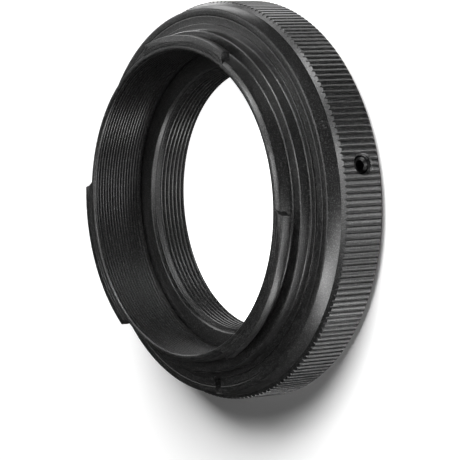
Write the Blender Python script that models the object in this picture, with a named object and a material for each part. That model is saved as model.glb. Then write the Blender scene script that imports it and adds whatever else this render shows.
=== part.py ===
"""T-ring adapter: a bayonet ring with a loose M42 x 0.75 thread ring, held in it by three set screws.

The optical axis is +Z and the bayonet faces up. The origin is on the axis, in the face that the
lens seats on, and the notch for the camera's lock pin is at -Y.
"""

import math

import bmesh
import bpy
from mathutils import Vector

MM = 0.001

# Radii from the axis outwards, each step measured from the one before it
THREAD_RADIUS = 21.0 * MM
THREAD_DEPTH = 0.4 * MM
THREAD_PITCH = 0.75 * MM
RELIEF_STEP = 0.2 * MM
INSERT_WALL = 3.5 * MM
SHOULDER_WIDTH = 1.0 * MM
TUBE_WALL = 1.2 * MM
LUG_REACH = 1.2 * MM
COLLAR_WIDTH = 1.85 * MM
SEAT_WIDTH = 1.05 * MM
FLANGE_WIDTH = 2.88 * MM
KNURL_RISE = 0.64 * MM
KNURL_DEPTH = 0.27 * MM
BAND_TAPER = 0.45 * MM

# Heights along the axis, from the lens seat up to the camera seat and on to the bayonet's front
REGISTER = 11.0 * MM
SEAT_STEP = 0.35 * MM
BAND_HEIGHT = 2.28 * MM
COLLAR_RISE = 2.0 * MM
TUBE_RISE = 3.08 * MM
LUG_THICKNESS = 1.68 * MM
REAR_STEP = 0.3 * MM
INSERT_LENGTH = 6.5 * MM
RELIEF_DEPTH = 1.0 * MM

# Broken edges, the slope that leads the tube into the camera, and the filled corners
REAR_CHAMFER = 0.82 * MM
FLANGE_CHAMFER = 0.15 * MM
COLLAR_CHAMFER = 0.15 * MM
RIM_CHAMFER = 0.2 * MM
INSERT_CHAMFER = 0.2 * MM
THREAD_CHAMFER = 0.4 * MM
LEAD_WIDTH = 0.5 * MM
LEAD_HEIGHT = 0.62 * MM
ROOT_FILLET = 0.3 * MM
LUG_FILLET = 0.45 * MM

# Knurl: straight teeth with flat tops and a V groove between each two
TEETH = 196
GROOVE_SHARE = 0.42

# Bayonet lugs, as (first, last) angle from +X, and the lock pin's notch
LUGS = ((59.4, 105.4), (172.0, 226.7), (291.9, 353.9))
NOTCH_ANGLE = 270.0
NOTCH_WIDTH = 1.45 * MM
NOTCH_DEPTH = 1.5 * MM
NOTCH_BITE = 0.3 * MM

# Set screws with cone points in the insert's V groove
SCREW_COUNT = 3
FIRST_SCREW_ANGLE = 7.7
SCREW_HEIGHT = 4.0 * MM
SCREW_RADIUS = 1.3 * MM
SCREW_SINK = 0.6 * MM
CONE_TIP_RADIUS = 0.2 * MM
HEAD_CHAMFER = 0.15 * MM
HEX_ACROSS = 1.5 * MM
HEX_DEPTH = 1.3 * MM
GROOVE_DEPTH = 0.9 * MM
COUNTERSINK = 0.2 * MM

# Stop pin, under the end of the last lug
PIN_OFFSET = 0.75
PIN_RADIUS = 0.5 * MM
PIN_REACH = 0.9 * MM
PIN_SEAT = 0.55 * MM
PIN_DOME = 0.15 * MM

# Running gap of the loose pieces, and the closer one round the pressed pin
GAP = 0.3 * MM
PIN_GAP = 0.15 * MM

# How much of the pitch the thread's groove takes at the bore, and where in the pitch it starts at +X
THREAD_SHARE = 0.7
THREAD_START = 0.5

# Flats round a turned surface, a small hole and a small arc
FACETS = 98
SMALL_FACETS = 24
ARC_STEPS = 5

# Sizes that follow from those above
THREAD_BORE = THREAD_RADIUS - THREAD_DEPTH
RELIEF_RADIUS = THREAD_RADIUS + RELIEF_STEP
INSERT_RADIUS = THREAD_RADIUS + INSERT_WALL
INSERT_BORE = INSERT_RADIUS + GAP
THROAT_RADIUS = INSERT_BORE - SHOULDER_WIDTH
TUBE_RADIUS = THROAT_RADIUS + TUBE_WALL
LUG_RADIUS = TUBE_RADIUS + LUG_REACH
COLLAR_RADIUS = TUBE_RADIUS + COLLAR_WIDTH
SEAT_RADIUS = COLLAR_RADIUS + SEAT_WIDTH
BAND_RADIUS = SEAT_RADIUS + FLANGE_WIDTH
GRIP_RADIUS = BAND_RADIUS + KNURL_RISE
FLANGE_TOP = REGISTER - SEAT_STEP
BAND_FOOT = FLANGE_TOP - BAND_HEIGHT
COLLAR_TOP = REGISTER + COLLAR_RISE
FRONT = COLLAR_TOP + TUBE_RISE
SHOULDER_HEIGHT = INSERT_LENGTH + GAP
GROOVE_RADIUS = INSERT_RADIUS - GROOVE_DEPTH
HOLE_RADIUS = SCREW_RADIUS + GAP


def polar(radius, degrees, height):
    """A point at this radius, angle and height."""
    angle = math.radians(degrees)
    return Vector((radius * math.cos(angle), radius * math.sin(angle), height))


def even_row(radius, height, count=FACETS):
    """Points spread evenly round the axis, the first on +X."""
    return [polar(radius, 360 * step / count, height) for step in range(count)]


def knurl_row(root_height, top_height):
    """One end of the knurl: for each tooth the groove's root, then the two corners of the flat top."""
    pitch = 360 / TEETH
    row = []
    for tooth in range(TEETH):
        row.append(polar(GRIP_RADIUS - KNURL_DEPTH, pitch * tooth, root_height))
        row.append(polar(GRIP_RADIUS, pitch * (tooth + GROOVE_SHARE / 2), top_height))
        row.append(polar(GRIP_RADIUS, pitch * (tooth + 1 - GROOVE_SHARE / 2), top_height))
    return row


def skin(bm, lower, upper):
    """Faces between two closed rows of vertices, which may differ in number."""
    if len(lower) == len(upper):
        for step in range(len(lower)):
            bm.faces.new((lower[step - 1], lower[step], upper[step], upper[step - 1]))
        return
    low = lower + lower[:1]
    up = upper + upper[:1]
    i = 0
    j = 0
    while i < len(lower) or j < len(upper):
        if i == len(lower):
            climbs = False
        elif j == len(upper):
            climbs = True
        else:
            climbs = (low[i + 1].co - up[j].co).length < (low[i].co - up[j + 1].co).length
        if climbs:
            bm.faces.new((low[i], low[i + 1], up[j]))
            i += 1
        else:
            bm.faces.new((low[i], up[j + 1], up[j]))
            j += 1


def skin_chain(bm, loops):
    """Skins each row of vertices to the next."""
    for lower, upper in zip(loops, loops[1:]):
        skin(bm, lower, upper)


def mesh_of(bm, name):
    """The finished mesh, smooth but for its real edges."""
    mesh = bpy.data.meshes.new(name)
    bm.to_mesh(mesh)
    bm.free()
    mesh.shade_smooth()
    mesh.set_sharp_from_angle(angle=math.radians(30))
    return mesh


def mesh_of_rows(name, rows, hollow):
    """A mesh over rows of points: joined end to end if hollow, closed with a cap at each end if not."""
    bm = bmesh.new()
    loops = [[bm.verts.new(point) for point in row] for row in rows]
    skin_chain(bm, loops)
    if hollow:
        skin(bm, loops[-1], loops[0])
    else:
        bm.faces.new(reversed(loops[0]))
        bm.faces.new(loops[-1])
    return mesh_of(bm, name)


def add_object(name, mesh, material=None):
    """A mesh in the scene. A shape with no material is a tool for a Boolean, and isn't rendered."""
    obj = bpy.data.objects.new(name, mesh)
    bpy.context.scene.collection.objects.link(obj)
    if material:
        mesh.materials.append(material)
    else:
        obj.hide_render = True
        obj.display_type = "WIRE"
    return obj


def aim_outwards(obj, radius, degrees, height):
    """Puts the object's origin at this place, with its own Z pointing away from the axis."""
    obj.location = polar(radius, degrees, height)
    obj.rotation_euler = (0, math.pi / 2, math.radians(degrees))


def apply_tool(obj, tool, operation):
    """Adds the tool to the object, or cuts it away."""
    modifier = obj.modifiers.new(tool.name, "BOOLEAN")
    modifier.operation = operation
    modifier.solver = "EXACT"
    modifier.object = tool


def finish(name, color, roughness, metallic):
    """A plain material of this colour."""
    material = bpy.data.materials.new(name)
    material.use_nodes = True
    shader = material.node_tree.nodes["Principled BSDF"]
    shader.inputs["Base Color"].default_value = (*color, 1)
    shader.inputs["Roughness"].default_value = roughness
    shader.inputs["Metallic"].default_value = metallic
    return material


def turned_body():
    """The mount ring as it leaves the lathe and the knurling wheel, before any milling."""
    rear_grip = GRIP_RADIUS - REAR_CHAMFER
    rear_root = REAR_STEP + REAR_CHAMFER - KNURL_DEPTH
    flange_rim = BAND_RADIUS - BAND_TAPER
    bore_mouth = REAR_STEP + INSERT_CHAMFER
    rows = [
        even_row(rear_grip, REAR_STEP),
        knurl_row(rear_root, REAR_STEP + REAR_CHAMFER),
        knurl_row(BAND_FOOT - KNURL_RISE + KNURL_DEPTH, BAND_FOOT - KNURL_RISE),
        even_row(BAND_RADIUS, BAND_FOOT),
        even_row(flange_rim, FLANGE_TOP - FLANGE_CHAMFER),
        even_row(flange_rim - FLANGE_CHAMFER, FLANGE_TOP),
        even_row(SEAT_RADIUS, FLANGE_TOP),
        even_row(SEAT_RADIUS, REGISTER),
        even_row(COLLAR_RADIUS + ROOT_FILLET, REGISTER),
        even_row(COLLAR_RADIUS, REGISTER + ROOT_FILLET),
        even_row(COLLAR_RADIUS, COLLAR_TOP - COLLAR_CHAMFER),
        even_row(COLLAR_RADIUS - COLLAR_CHAMFER, COLLAR_TOP),
        even_row(TUBE_RADIUS + ROOT_FILLET, COLLAR_TOP),
        even_row(TUBE_RADIUS, COLLAR_TOP + ROOT_FILLET),
        even_row(TUBE_RADIUS, FRONT - LEAD_HEIGHT),
        even_row(TUBE_RADIUS - LEAD_WIDTH, FRONT),
        even_row(THROAT_RADIUS + RIM_CHAMFER, FRONT),
        even_row(THROAT_RADIUS, FRONT - RIM_CHAMFER),
        even_row(THROAT_RADIUS, SHOULDER_HEIGHT),
        even_row(INSERT_BORE, SHOULDER_HEIGHT),
        even_row(INSERT_BORE, bore_mouth),
        even_row(INSERT_BORE + INSERT_CHAMFER, REAR_STEP),
    ]
    return mesh_of_rows("mount_ring", rows, hollow=True)


def lug_row(first, last, height, inset):
    """A lug's outline: rim, then a flank that runs into the tube in a fillet, root, and the other flank."""
    rim = LUG_RADIUS - inset
    foot = TUBE_RADIUS + LUG_FILLET
    root = TUBE_RADIUS - TUBE_WALL / 2
    inset_turn = math.degrees(inset / LUG_RADIUS)
    fillet_turn = math.degrees(LUG_FILLET / TUBE_RADIUS)
    low = first + inset_turn
    high = last - inset_turn
    steps = round(FACETS * (last - first) / 360)
    row = [polar(rim, low + (high - low) * step / steps, height) for step in range(steps + 1)]
    for step in range(ARC_STEPS + 1):
        bend = math.pi / 2 * step / ARC_STEPS
        turn = fillet_turn * (1 - math.cos(bend))
        row.append(polar(foot - LUG_FILLET * math.sin(bend), high + turn, height))
    back = (high + fillet_turn, low - fillet_turn)
    row += [polar(root, back[0] + (back[1] - back[0]) * step / steps, height) for step in range(steps + 1)]
    for step in range(ARC_STEPS + 1):
        bend = math.pi / 2 * (1 - step / ARC_STEPS)
        turn = fillet_turn * (1 - math.cos(bend))
        row.append(polar(foot - LUG_FILLET * math.sin(bend), low - turn, height))
    return row


def lug(number, first, last):
    """One bayonet lug, which goes into the tube's wall for half of it."""
    rows = [
        lug_row(first, last, FRONT - LUG_THICKNESS, 0),
        lug_row(first, last, FRONT - RIM_CHAMFER, 0),
        lug_row(first, last, FRONT, RIM_CHAMFER),
    ]
    return add_object(f"lug_{number}", mesh_of_rows(f"lug_{number}", rows, hollow=False))


def lock_notch():
    """The cutter of the lock pin's notch: a slot with a round inner end, open at the ring's edge."""
    half = NOTCH_WIDTH / 2
    centre = SEAT_RADIUS - NOTCH_BITE + half
    outline = [(GRIP_RADIUS + half, -half), (GRIP_RADIUS + half, half)]
    for step in range(2 * ARC_STEPS + 1):
        bend = math.pi / 2 + math.pi * step / (2 * ARC_STEPS)
        outline.append((centre + half * math.cos(bend), half * math.sin(bend)))
    heights = (FLANGE_TOP - NOTCH_DEPTH, COLLAR_TOP)
    rows = [[Vector((x, y, height)) for x, y in outline] for height in heights]
    cutter = add_object("lock_notch", mesh_of_rows("lock_notch", rows, hollow=False))
    cutter.rotation_euler = (0, 0, math.radians(NOTCH_ANGLE))
    return cutter


def screw_hole(number, degrees):
    """The cutter of one screw hole, from inside the bore to outside the grip, with its countersink."""
    start = INSERT_RADIUS - GAP
    sink = GRIP_RADIUS - start - COUNTERSINK
    end = GRIP_RADIUS - start + COUNTERSINK
    rows = [
        even_row(HOLE_RADIUS, 0, SMALL_FACETS),
        even_row(HOLE_RADIUS, sink, SMALL_FACETS),
        even_row(HOLE_RADIUS + 2 * COUNTERSINK, end, SMALL_FACETS),
    ]
    cutter = add_object(f"screw_hole_{number}", mesh_of_rows("screw_hole", rows, hollow=False))
    aim_outwards(cutter, start, degrees, SCREW_HEIGHT)
    return cutter


def pin_place():
    """The stop pin's angle, and its height midway between the collar and the lugs."""
    lug_back = FRONT - LUG_THICKNESS
    return LUGS[-1][0] - PIN_OFFSET, (COLLAR_TOP + lug_back) / 2


def pin_hole():
    """The cutter of the stop pin's blind hole in the tube."""
    degrees, height = pin_place()
    start = TUBE_RADIUS - PIN_SEAT - PIN_GAP
    end = TUBE_RADIUS + ROOT_FILLET + PIN_GAP
    rows = [
        even_row(PIN_RADIUS + PIN_GAP, 0, SMALL_FACETS),
        even_row(PIN_RADIUS + PIN_GAP, end - start, SMALL_FACETS),
    ]
    cutter = add_object("pin_hole", mesh_of_rows("pin_hole", rows, hollow=False))
    aim_outwards(cutter, start, degrees, height)
    return cutter


def mount_ring(material, screw_angles):
    """The turned body with its lugs, and the notch, screw holes and pin hole cut in it."""
    body = add_object("mount_ring", turned_body(), material)
    for number, (first, last) in enumerate(LUGS, start=1):
        apply_tool(body, lug(number, first, last), "UNION")
    apply_tool(body, lock_notch(), "DIFFERENCE")
    for number, degrees in enumerate(screw_angles, start=1):
        apply_tool(body, screw_hole(number, degrees), "DIFFERENCE")
    apply_tool(body, pin_hole(), "DIFFERENCE")


def thread_radius(height, step):
    """The thread's radius at this height, at this step round the axis. Its V groove rises by one pitch a turn."""
    share = (height / THREAD_PITCH - THREAD_START - step / FACETS) % 1
    from_groove = min(share, 1 - share)
    return THREAD_RADIUS - THREAD_DEPTH * min(1, from_groove * 2 / THREAD_SHARE)


def thread_wall(bm, low, high):
    """The wall of the right-hand thread from high down to low. Gives the rows of vertices at both ends."""
    first_turn = math.floor(low / THREAD_PITCH) - 1
    last_turn = math.ceil(high / THREAD_PITCH) + 1
    corners = (0, THREAD_SHARE / 2, 1 - THREAD_SHARE / 2)
    turns = [turn + corner for turn in range(first_turn, last_turn) for corner in corners]
    near = THREAD_PITCH / FACETS / 3
    bottom = [bm.verts.new(polar(thread_radius(low, step), 360 * step / FACETS, low)) for step in range(FACETS)]
    top = [bm.verts.new(polar(thread_radius(high, step), 360 * step / FACETS, high)) for step in range(FACETS)]
    lines = []
    for turn in turns:
        line = []
        for step in range(FACETS):
            height = THREAD_PITCH * (turn + THREAD_START + step / FACETS)
            if height < low + near:
                line.append(bottom[step])
            elif height > high - near:
                line.append(top[step])
            else:
                line.append(bm.verts.new(polar(thread_radius(height, step), 360 * step / FACETS, height)))
        lines.append(line)
    a_turn = len(corners)
    for number in range(len(lines) - 1):
        for step in range(FACETS):
            corner_points = [lines[number][step], lines[number + 1][step]]
            if step < FACETS - 1:
                corner_points += [lines[number + 1][step + 1], lines[number][step + 1]]
            elif number + a_turn < len(lines) - 1:
                corner_points += [lines[number + 1 + a_turn][0], lines[number + a_turn][0]]
            outline = list(dict.fromkeys(corner_points))
            if len(outline) > 2:
                bm.faces.new(outline)
    return bottom, top


def insert_ring(material):
    """The loose ring with the lens thread, its relief in front, and the V groove round it."""
    rows = [
        even_row(THREAD_BORE + THREAD_CHAMFER, 0),
        even_row(INSERT_RADIUS - INSERT_CHAMFER, 0),
        even_row(INSERT_RADIUS, INSERT_CHAMFER),
        even_row(INSERT_RADIUS, SCREW_HEIGHT - GROOVE_DEPTH),
        even_row(GROOVE_RADIUS, SCREW_HEIGHT),
        even_row(INSERT_RADIUS, SCREW_HEIGHT + GROOVE_DEPTH),
        even_row(INSERT_RADIUS, INSERT_LENGTH - INSERT_CHAMFER),
        even_row(INSERT_RADIUS - INSERT_CHAMFER, INSERT_LENGTH),
        even_row(RELIEF_RADIUS, INSERT_LENGTH),
        even_row(RELIEF_RADIUS, INSERT_LENGTH - RELIEF_DEPTH),
    ]
    bm = bmesh.new()
    bottom, top = thread_wall(bm, THREAD_CHAMFER, INSERT_LENGTH - RELIEF_DEPTH - RELIEF_STEP)
    skin_chain(bm, [bottom] + [[bm.verts.new(point) for point in row] for row in rows] + [top])
    add_object("insert_ring", mesh_of(bm, "insert_ring"), material)


def set_screw(number, degrees, material):
    """A headless screw with a cone point and a hexagon socket, its origin on its own axis at the tip."""
    tip = GROOVE_RADIUS + GAP * math.sqrt(2)
    length = GRIP_RADIUS - SCREW_SINK - tip
    hex_radius = HEX_ACROSS / math.sqrt(3)
    rows = [
        even_row(CONE_TIP_RADIUS, 0, SMALL_FACETS),
        even_row(SCREW_RADIUS, SCREW_RADIUS - CONE_TIP_RADIUS, SMALL_FACETS),
        even_row(SCREW_RADIUS, length - HEAD_CHAMFER, SMALL_FACETS),
        even_row(SCREW_RADIUS - HEAD_CHAMFER, length, SMALL_FACETS),
        even_row(hex_radius, length, 6),
        even_row(hex_radius, length - HEX_DEPTH, 6),
    ]
    name = f"set_screw_{number}"
    screw = add_object(name, mesh_of_rows(name, rows, hollow=False), material)
    aim_outwards(screw, tip, degrees, SCREW_HEIGHT)


def stop_pin(material):
    """The steel pin in the tube's wall, with a domed outer end."""
    degrees, height = pin_place()
    length = PIN_SEAT + PIN_REACH
    rows = [
        even_row(PIN_RADIUS, 0, SMALL_FACETS),
        even_row(PIN_RADIUS, length - PIN_DOME, SMALL_FACETS),
        even_row(PIN_RADIUS - PIN_DOME, length, SMALL_FACETS),
    ]
    pin = add_object("stop_pin", mesh_of_rows("stop_pin", rows, hollow=False), material)
    aim_outwards(pin, TUBE_RADIUS - PIN_SEAT, degrees, height)


def build():
    """Clears the scene and makes every piece."""
    for obj in list(bpy.data.objects):
        bpy.data.objects.remove(obj, do_unlink=True)
    anodised = finish("black_anodised", (0.025, 0.025, 0.027), 0.38, 0.9)
    insert_black = finish("insert_anodised", (0.02, 0.02, 0.022), 0.42, 0.9)
    blackened = finish("blackened_steel", (0.05, 0.05, 0.052), 0.35, 1.0)
    bright = finish("bright_steel", (0.6, 0.6, 0.6), 0.22, 1.0)
    screw_angles = [FIRST_SCREW_ANGLE + 360 * step / SCREW_COUNT for step in range(SCREW_COUNT)]
    mount_ring(anodised, screw_angles)
    insert_ring(insert_black)
    for number, degrees in enumerate(screw_angles, start=1):
        set_screw(number, degrees, blackened)
    stop_pin(bright)


build()
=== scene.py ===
# %% [markdown]
# # A T-ring adapter, finished as a studio picture
#
# The part is a black anodised ring that joins a telescope or a T2 lens to a camera. It was turned on a
# lathe from one piece of aluminium, knurled round the grip, and milled to leave three bayonet lugs.
# Inside sits a loose ring with the lens thread, held by three small set screws.
#
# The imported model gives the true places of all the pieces. This lesson makes each piece again with
# the fine things that a solid for machining leaves out: rounded edges, threads, light-trap grooves
# and the grain of the finish.

# %% Load the frame
import math

import bmesh
import bpy
from mathutils import Matrix, Vector


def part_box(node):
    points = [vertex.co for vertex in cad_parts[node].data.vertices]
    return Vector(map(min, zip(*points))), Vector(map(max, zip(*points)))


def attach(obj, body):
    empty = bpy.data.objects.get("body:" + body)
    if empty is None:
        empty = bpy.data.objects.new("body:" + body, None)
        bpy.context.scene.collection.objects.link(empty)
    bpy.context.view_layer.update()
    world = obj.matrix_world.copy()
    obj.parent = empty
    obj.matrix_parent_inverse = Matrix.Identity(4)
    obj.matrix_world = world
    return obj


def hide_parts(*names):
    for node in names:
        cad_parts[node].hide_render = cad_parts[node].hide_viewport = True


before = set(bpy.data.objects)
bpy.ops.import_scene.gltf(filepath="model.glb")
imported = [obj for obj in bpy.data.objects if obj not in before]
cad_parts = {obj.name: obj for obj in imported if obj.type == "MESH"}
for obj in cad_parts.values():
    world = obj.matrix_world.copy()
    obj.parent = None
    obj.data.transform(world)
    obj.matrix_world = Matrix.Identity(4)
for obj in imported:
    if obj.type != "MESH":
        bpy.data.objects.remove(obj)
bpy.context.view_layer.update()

MM = 0.001

# %% [markdown]
# ## Sizes
#
# The overall sizes are read from the frame, so that the dressed pieces can't drift away from the
# solids. A lathe hand works in steps from one face to the next, and so do these values: each radius
# is a step in or out from one before it, and each height a step along the axis.

# %% Sizes read from the frame
ring_low, ring_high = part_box("mount_ring")
insert_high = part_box("insert_ring")[1]
REAR = ring_low.z
FRONT = ring_high.z
GRIP_RADIUS = ring_high.x
INSERT_RADIUS = insert_high.x
INSERT_LENGTH = insert_high.z
print(f"grip {GRIP_RADIUS / MM:.2f} mm, ring {REAR / MM:.2f} to {FRONT / MM:.2f} mm along the axis")

# %% Steps of the turned section
KNURL_RISE = 0.64 * MM
KNURL_DEPTH = 0.27 * MM
REAR_CHAMFER = 0.82 * MM
FLANGE_WIDTH = 2.88 * MM
SEAT_WIDTH = 1.05 * MM
COLLAR_WIDTH = 1.85 * MM
TUBE_WALL = 1.2 * MM
LUG_REACH = 1.2 * MM
TUBE_RISE = 3.08 * MM
COLLAR_RISE = 2.0 * MM
SEAT_STEP = 0.35 * MM
BAND_HEIGHT = 2.28 * MM
LUG_THICKNESS = 1.68 * MM
BAND_TAPER = 0.48 * MM
LEAD_WIDTH = 0.5 * MM
LEAD_HEIGHT = 0.62 * MM
ROOT_FILLET = 0.4 * MM
RUNNING_GAP = 0.3 * MM

BAND_RADIUS = GRIP_RADIUS - KNURL_RISE
SEAT_RADIUS = BAND_RADIUS - FLANGE_WIDTH
COLLAR_RADIUS = SEAT_RADIUS - SEAT_WIDTH
TUBE_RADIUS = COLLAR_RADIUS - COLLAR_WIDTH
THROAT_RADIUS = TUBE_RADIUS - TUBE_WALL
LUG_RADIUS = TUBE_RADIUS + LUG_REACH
COLLAR_TOP = FRONT - TUBE_RISE
SEAT_TOP = COLLAR_TOP - COLLAR_RISE
FLANGE_TOP = SEAT_TOP - SEAT_STEP
BAND_FOOT = FLANGE_TOP - BAND_HEIGHT
INSERT_BORE = INSERT_RADIUS + RUNNING_GAP
SHOULDER = INSERT_LENGTH + RUNNING_GAP
print(f"tube {TUBE_RADIUS / MM:.2f}, lugs {LUG_RADIUS / MM:.2f}, seat {SEAT_RADIUS / MM:.2f} mm")

# %% [markdown]
# ## Working with rows
#
# A turned part is a stack of rings of points. One helper skins the strip between two rows, which may
# differ in number, and another makes a mesh of a whole stack. Corners get a small arc instead of a
# sharp edge, because real edges are broken, and it is those narrow arcs that catch the light.


# %% Rows of points and the skin between them
def polar(radius, degrees, height):
    """A point at this radius, angle and height."""
    angle = math.radians(degrees)
    return Vector((radius * math.cos(angle), radius * math.sin(angle), height))


def even_row(radius, height, count):
    """Points spread evenly round the axis."""
    return [polar(radius, 360 * step / count, height) for step in range(count)]


def skin(bm, lower, upper, closed=True):
    """Faces between two rows of vertices. A closed row comes back to its own start."""
    low = lower + lower[:1] if closed else lower
    up = upper + upper[:1] if closed else upper
    last_low = len(low) - 1
    last_up = len(up) - 1
    if last_low == last_up:
        for step in range(last_low):
            bm.faces.new((low[step], low[step + 1], up[step + 1], up[step]))
        return
    i = 0
    j = 0
    while i < last_low or j < last_up:
        if i == last_low:
            climbs = False
        elif j == last_up:
            climbs = True
        else:
            climbs = (low[i + 1].co - up[j].co).length < (low[i].co - up[j + 1].co).length
        if climbs:
            bm.faces.new((low[i], low[i + 1], up[j]))
            i += 1
        else:
            bm.faces.new((low[i], up[j + 1], up[j]))
            j += 1


# %% A mesh over a stack of rows, and an outline with rounded corners
def mesh_of_rows(name, rows, hollow=False):
    """A mesh over rows of points: joined end to end if hollow, closed with caps if not."""
    bm = bmesh.new()
    loops = [[bm.verts.new(point) for point in row] for row in rows]
    for lower, upper in zip(loops, loops[1:]):
        skin(bm, lower, upper)
    if hollow:
        skin(bm, loops[-1], loops[0])
    else:
        bm.faces.new(reversed(loops[0]))
        bm.faces.new(loops[-1])
    mesh = bpy.data.meshes.new(name)
    bm.to_mesh(mesh)
    bm.free()
    return mesh


def rounded(corners, steps=4):
    """A section's outline. Each corner (radius, height, length) becomes an arc that starts and ends that
    far from it. A fourth number gives the far side a length of its own."""
    outline = []
    for number, (radius, height, *lengths) in enumerate(corners):
        here = Vector((radius, height))
        if lengths[0] == 0:
            outline.append(here)
            continue
        before = Vector(corners[number - 1][:2]) - here
        after = Vector(corners[number + 1][:2]) - here
        start = here + before.normalized() * lengths[0]
        end = here + after.normalized() * lengths[-1]
        for step in range(steps + 1):
            share = step / steps
            outline.append(start.lerp(here, share).lerp(here.lerp(end, share), share))
    return outline


# %% Objects and their shading
def add_object(name, mesh):
    """A mesh as an object at the origin."""
    obj = bpy.data.objects.new(name, mesh)
    bpy.context.scene.collection.objects.link(obj)
    return obj


def dress(mesh, material):
    """One material all over."""
    mesh.materials.clear()
    mesh.materials.append(material)
    mesh.polygons.foreach_set("material_index", [0] * len(mesh.polygons))


def smooth(mesh, degrees=31):
    """Smooth shading, with edges sharper than this angle left sharp."""
    mesh.shade_smooth()
    mesh.set_sharp_from_angle(angle=math.radians(degrees))


# %% [markdown]
# ## Booleans that leave a plain mesh
#
# Lugs are joined and holes are cut with the exact solver, which is slow but leaves no open edges.
# The result is read back as a plain mesh straight away. The tools are removed, so nothing of them is
# left in the scene.


# %% Join and cut
def plain_mesh(obj):
    """The object's mesh as its modifiers leave it. The modifiers are then removed."""
    graph = bpy.context.evaluated_depsgraph_get()
    mesh = bpy.data.meshes.new_from_object(obj.evaluated_get(graph))
    mesh.name = obj.name
    obj.modifiers.clear()
    obj.data = mesh
    return mesh


def combine(target, tool, operation):
    """Joins the tool to the target or cuts it away, and removes the tool."""
    dress(tool.data, target.data.materials[0])
    modifier = target.modifiers.new("work", "BOOLEAN")
    modifier.operation = operation
    modifier.solver = "EXACT"
    modifier.object = tool
    plain_mesh(target)
    bpy.data.objects.remove(tool, do_unlink=True)


def joined(name, objects):
    """Several objects as one: a piece's parts, or tools that one Boolean then uses together."""
    bm = bmesh.new()
    for obj in objects:
        part = obj.data.copy()
        part.transform(obj.matrix_basis)
        bm.from_mesh(part)
        bpy.data.objects.remove(obj, do_unlink=True)
    mesh = bpy.data.meshes.new(name)
    bm.to_mesh(mesh)
    bm.free()
    return add_object(name, mesh)


# %% [markdown]
# ## Shader maths in plain signs
#
# A finish is easier to read as `0.4 + 0.1 * grain` than as a web of nodes. The class below wraps a
# number that changes over the surface, and each sign adds its Math node.


# %% A finish and the numbers in it
class Amount:
    """A number that changes over a surface."""

    def __init__(self, finish, socket):
        self.finish = finish
        self.socket = socket

    def maths(self, operation, *terms):
        inputs = dict(enumerate(terms))
        return self.finish.node("ShaderNodeMath", {"operation": operation}, inputs)

    def __add__(self, other):
        return self.maths("ADD", self, other)

    def __radd__(self, other):
        return self.maths("ADD", other, self)

    def __sub__(self, other):
        return self.maths("SUBTRACT", self, other)

    def __rsub__(self, other):
        return self.maths("SUBTRACT", other, self)

    def __mul__(self, other):
        return self.maths("MULTIPLY", self, other)

    def __rmul__(self, other):
        return self.maths("MULTIPLY", other, self)

    def __truediv__(self, other):
        return self.maths("DIVIDE", self, other)

    def __pow__(self, other):
        return self.maths("POWER", self, other)


class Finish:
    """A material under construction."""

    def __init__(self, name):
        self.material = bpy.data.materials.new(name)
        self.material.use_nodes = True
        self.tree = self.material.node_tree
        self.shader = self.tree.nodes["Principled BSDF"]

    def node(self, kind, settings=None, inputs=None, output=0):
        """Any node: its settings first, then the values or links of its sockets."""
        made = self.tree.nodes.new(kind)
        for key, value in (settings or {}).items():
            setattr(made, key, value)
        self.feed(made, inputs or {})
        return Amount(self, made.outputs[output])

    def feed(self, made, inputs):
        """Sets or links a node's sockets."""
        for key, value in inputs.items():
            socket = made.inputs[key]
            if isinstance(value, Amount):
                self.tree.links.new(value.socket, socket)
            else:
                socket.default_value = value

    def mix(self, share, first, second):
        """A colour between two, by a share from 0 to 1. The node's sockets 6 and 7 are its two colours,
        and its output 2 is the colour between them."""
        inputs = {0: share, 6: first, 7: second}
        return self.node("ShaderNodeMix", {"data_type": "RGBA"}, inputs, output=2)

    def surface(self, **inputs):
        """Feeds the surface shader, with words joined by underscores for its sockets."""
        self.feed(self.shader, {key.replace("_", " "): value for key, value in inputs.items()})
        return self.material


# %% [markdown]
# ## The black anodised finish
#
# Anodising leaves a thin glassy skin full of black dye over blasted, turned metal. Two patterns make
# it: fine lathe marks, which run round the axis and so depend only on radius and height, and the
# grain of the blasting, which is the same in every direction. Both tilt the surface through a bump.
# The high points of the grain are worn paler, and that gives the fine speckle seen up close.
#
# A noise texture's scale counts its patches in a metre, so a scale of 5200 gives grains about a fifth
# of a millimetre across.

# %% Anodised aluminium
LATHE_SCALE = 7000.0
GRAIN_SCALE = 5200.0
CLOUD_SCALE = 260.0
GRAIN_DEPTH = 0.02 * MM
GRAIN_SHARE = 0.6
ROUGHNESS_SPREAD = 0.12
FLECK_START = 0.5
FLECK_CONTRAST = 5
DYED_SHARE = 0.1
WORN_SHARE = 5.5


def grey(value):
    """A neutral colour."""
    return (value, value, value, 1)


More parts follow.
